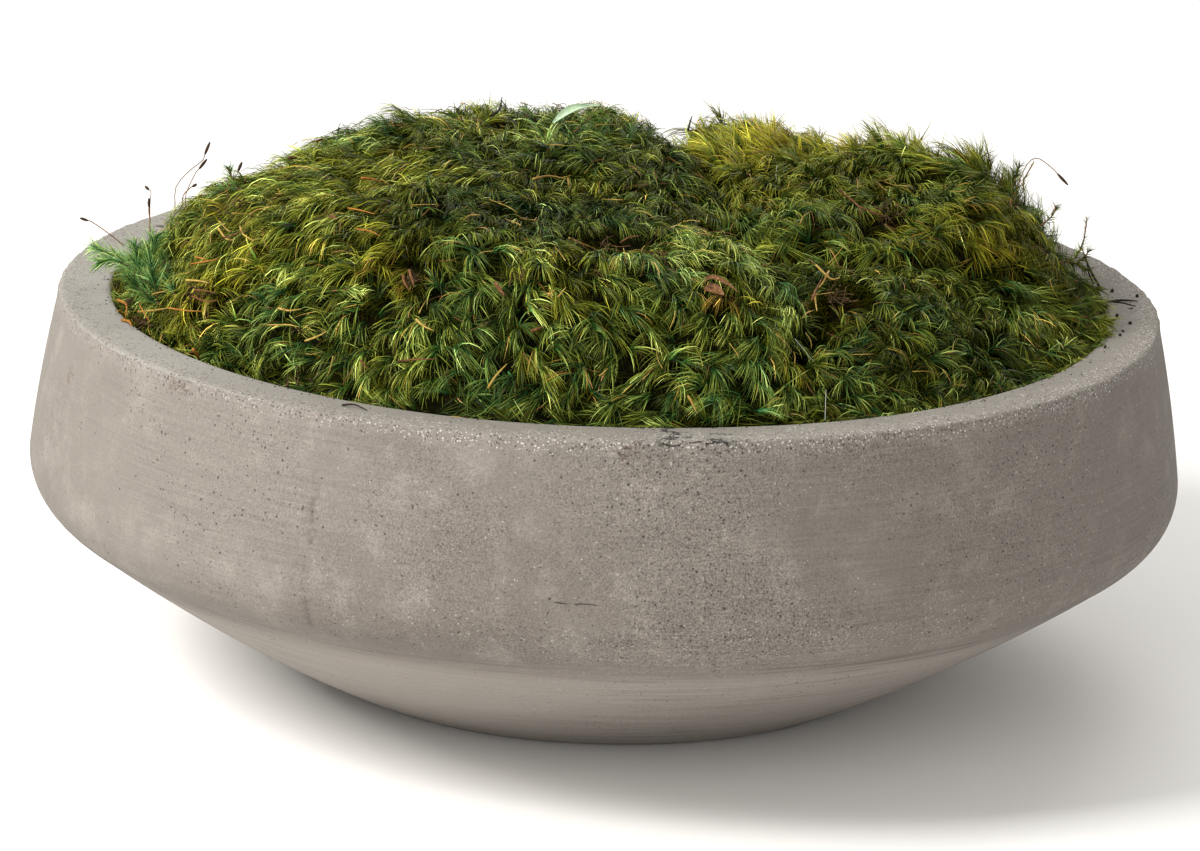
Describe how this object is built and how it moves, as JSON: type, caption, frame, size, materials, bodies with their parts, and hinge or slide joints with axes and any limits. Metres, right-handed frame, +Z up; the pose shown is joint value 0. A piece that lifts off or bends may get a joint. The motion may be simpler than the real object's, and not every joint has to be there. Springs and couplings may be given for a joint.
{
  "type": "moss clump in a low round concrete bowl",
  "caption": "Cushion of long-leaved moss in three clumps, heaped over the rim of a low, round, thick-walled concrete bowl with a flat base.",
  "frame": {"origin": "centre of the bowl's flat underside", "axes": "+Z up, along the bowl's axis; -Y towards the viewer of the picture; +X to the viewer's right"},
  "size_m": [0.4, 0.4, 0.1853],
  "materials": {
    "concrete": "Cast grey concrete, matt, with fine pores, cloudy patches and a worn, speckled rim edge.",
    "soil": "Dark brown humus with reddish bits, matt and crumbly.",
    "moss_dark_green": "Long, curved, silky moss leaves, dark green with yellow-green tips.",
    "moss_ochre_green": "Upright, brush-like moss leaves, ochre and olive at the tips over dark green.",
    "moss_fine_green": "Short, fine moss leaves, dark green with olive and brown litter."
  },
  "bodies": {
    "root": {"concrete_bowl": "concrete", "soil_bed": "soil", "moss_clump_left": "moss_dark_green", "moss_clump_back_right": "moss_ochre_green", "moss_clump_front_right": "moss_fine_green"}
  },
  "joints": []
}
